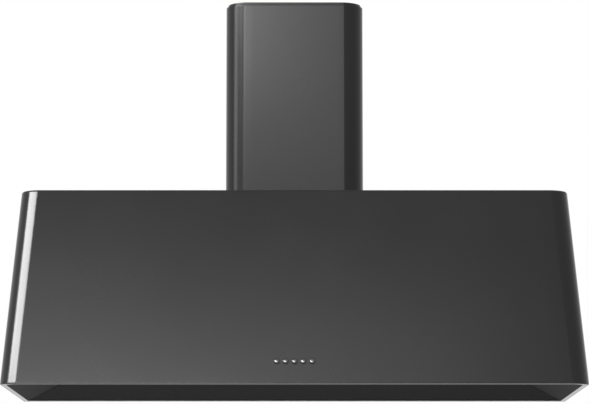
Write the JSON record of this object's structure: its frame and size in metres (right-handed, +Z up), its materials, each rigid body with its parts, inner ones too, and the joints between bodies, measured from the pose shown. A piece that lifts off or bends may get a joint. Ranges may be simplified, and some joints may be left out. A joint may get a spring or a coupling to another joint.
{
  "type": "chimney range hood",
  "caption": "Wall-mounted cooker hood: dark tapered canopy with push buttons, hinged grease filters, lamps, blower with damper outlet, and a telescopic chimney cover.",
  "frame": {"origin": "on the wall plane, at the middle of the hood's width, level with the bottom rim", "axes": "+X across the wall, +Y into the wall, +Z up"},
  "size_m": [1.0996, 0.4997, 0.772],
  "materials": {
    "body_paint": "semi-gloss, near black",
    "galvanised": "matt zinc",
    "filter_aluminium": "satin",
    "latch_plastic": "fine grain",
    "chrome_trim": "polished",
    "black_plastic": "moulded, matt",
    "lamp_glass": "frosted",
    "lamp_metal": "spun, satin",
    "circuit_board": "white solder mask",
    "bush_rubber": "matt",
    "bright_steel": "zinc plated"
  },
  "bodies": {
    "hood": {"back_panel": "galvanised", "blower_hangers": "galvanised", "blower_housing_left": "black_plastic", "blower_housing_right": "black_plastic", "button_collars": "chrome_trim", "cable_gland": "black_plastic", "canopy_shell": "body_paint", "canopy_top": "body_paint", "capacitor": "lamp_metal", "chimney_lower": "body_paint", "chimney_screws": "bright_steel", "control_box": "black_plastic", "control_box_lid": "black_plastic", "damper_pins": "bright_steel", "lamp_bezels": "chrome_trim", "lamp_boards": "circuit_board", "lamp_housings": "lamp_metal", "lamp_lenses": "lamp_glass", "motor_body": "lamp_metal", "motor_bracket": "galvanised", "motor_grommets": "bush_rubber", "outlet_spigot": "black_plastic", "rear_stiffener": "galvanised", "spigot_screws": "bright_steel", "switch_bracket": "galvanised", "switch_housing": "black_plastic", "underside_pan": "body_paint", "wall_brackets": "galvanised"},
    "push_button_1": {"push_button_1": "chrome_trim"},
    "push_button_2": {"push_button_2": "chrome_trim"},
    "push_button_3": {"push_button_3": "chrome_trim"},
    "push_button_4": {"push_button_4": "chrome_trim"},
    "push_button_5": {"push_button_5": "chrome_trim"},
    "filter_left": {"filter_frame_left": "filter_aluminium", "filter_mesh_left": "filter_aluminium"},
    "filter_latch_left": {"filter_latch_left": "latch_plastic"},
    "filter_centre": {"filter_frame_centre": "filter_aluminium", "filter_mesh_centre": "filter_aluminium"},
    "filter_latch_centre": {"filter_latch_centre": "latch_plastic"},
    "filter_right": {"filter_frame_right": "filter_aluminium", "filter_mesh_right": "filter_aluminium"},
    "filter_latch_right": {"filter_latch_right": "latch_plastic"},
    "upper_chimney": {"chimney_upper": "body_paint", "flue_wall_bracket": "galvanised", "flue_bracket_screws": "bright_steel"},
    "fan_wheel": {"impeller": "black_plastic", "motor_shaft": "bright_steel"},
    "damper_flap_front": {"damper_flap_front": "black_plastic"},
    "damper_flap_rear": {"damper_flap_rear": "black_plastic"}
  },
  "joints": [
    {"name": "upper_chimney_slide", "type": "slide", "parent": "hood", "child": "upper_chimney", "axis": [0, 0, 1], "range_m": [0, 0.33]},
    {"name": "push_button_1_press", "type": "slide", "parent": "hood", "child": "push_button_1", "axis": [0, 0.9851, -0.1721], "range_m": [0, 0.0026], "stiffness_N_per_m": 600},
    {"name": "push_button_2_press", "type": "slide", "parent": "hood", "child": "push_button_2", "axis": [0, 0.9851, -0.1721], "range_m": [0, 0.0026], "stiffness_N_per_m": 600},
    {"name": "push_button_3_press", "type": "slide", "parent": "hood", "child": "push_button_3", "axis": [0, 0.9851, -0.1721], "range_m": [0, 0.0026], "stiffness_N_per_m": 600},
    {"name": "push_button_4_press", "type": "slide", "parent": "hood", "child": "push_button_4", "axis": [0, 0.9851, -0.1721], "range_m": [0, 0.0026], "stiffness_N_per_m": 600},
    {"name": "push_button_5_press", "type": "slide", "parent": "hood", "child": "push_button_5", "axis": [0, 0.9851, -0.1721], "range_m": [0, 0.0026], "stiffness_N_per_m": 600},
    {"name": "filter_left_hinge", "type": "hinge", "parent": "hood", "child": "filter_left", "pos_m": [-0.298, -0.1, 0.0312], "axis": [1, 0, 0], "range_deg": [0, 60]},
    {"name": "filter_latch_left_slide", "type": "slide", "parent": "filter_left", "child": "filter_latch_left", "axis": [0, 1, 0], "range_m": [0, 0.0065], "stiffness_N_per_m": 300},
    {"name": "filter_centre_hinge", "type": "hinge", "parent": "hood", "child": "filter_centre", "pos_m": [0, -0.1, 0.0312], "axis": [1, 0, 0], "range_deg": [0, 60]},
    {"name": "filter_latch_centre_slide", "type": "slide", "parent": "filter_centre", "child": "filter_latch_centre", "axis": [0, 1, 0], "range_m": [0, 0.0065], "stiffness_N_per_m": 300},
    {"name": "filter_right_hinge", "type": "hinge", "parent": "hood", "child": "filter_right", "pos_m": [0.298, -0.1, 0.0312], "axis": [1, 0, 0], "range_deg": [0, 60]},
    {"name": "filter_latch_right_slide", "type": "slide", "parent": "filter_right", "child": "filter_latch_right", "axis": [0, 1, 0], "range_m": [0, 0.0065], "stiffness_N_per_m": 300},
    {"name": "fan_spin", "type": "hinge", "parent": "hood", "child": "fan_wheel", "pos_m": [0, -0.2135, 0.207], "axis": [1, 0, 0], "continuous": true},
    {"name": "damper_flap_front_hinge", "type": "hinge", "parent": "hood", "child": "damper_flap_front", "pos_m": [0, -0.136, 0.388], "axis": [-1, 0, 0], "range_deg": [0, 75]},
    {"name": "damper_flap_rear_hinge", "type": "hinge", "parent": "hood", "child": "damper_flap_rear", "pos_m": [0, -0.126, 0.388], "axis": [1, 0, 0], "range_deg": [0, 75]}
  ]
}
